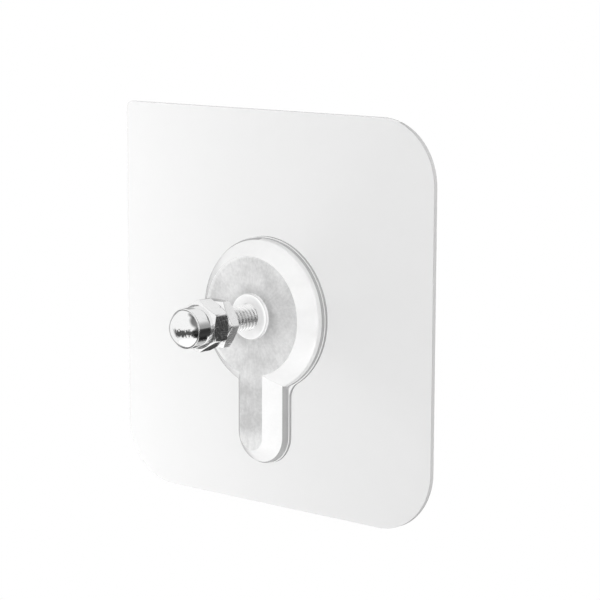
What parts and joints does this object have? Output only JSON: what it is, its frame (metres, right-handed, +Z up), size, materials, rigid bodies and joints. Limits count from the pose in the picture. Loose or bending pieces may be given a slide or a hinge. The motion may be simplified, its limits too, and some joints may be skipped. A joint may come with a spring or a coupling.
{
  "type": "adhesive wall hook",
  "caption": "Clear square adhesive sheet with a moulded clear base and a threaded metal stud that carries a hex nut and a domed cap nut, for hanging things on a wall.",
  "frame": {"origin": "centre of the square adhesive back, on the wall", "axes": "+Y into the wall, so the hook stands out towards -Y; +Z up, with the tail of the base pointing down; +X to the right seen from the front"},
  "size_m": [0.06, 0.0214, 0.06],
  "materials": {
    "clear_adhesive": "clear soft acrylic adhesive, tacky",
    "clear_sheet": "smooth clear soft vinyl",
    "clear_bond": "clear cured bond",
    "clear_base": "clear moulding, polished slopes and frosted flat top",
    "plated_screw": "bright plated rolled thread",
    "plated_nut": "satin plated",
    "polished_cap": "bright polished plating"
  },
  "bodies": {
    "base": {"adhesive_layer": "clear_adhesive", "face_sheet": "clear_sheet", "base_bond": "clear_bond", "hook_base": "clear_base", "stud_screw": "plated_screw"},
    "hex_nut": {"hex_nut": "plated_nut"},
    "cap_nut": {"cap_nut": "polished_cap"}
  },
  "joints": [
    {"name": "hex_nut_travel", "type": "slide", "parent": "base", "child": "hex_nut", "axis": [0, -1, 0], "range_m": [-0.0059, 0]},
    {"name": "cap_nut_travel", "type": "slide", "parent": "base", "child": "cap_nut", "axis": [0, -1, 0], "range_m": [0, 0.012]}
  ]
}
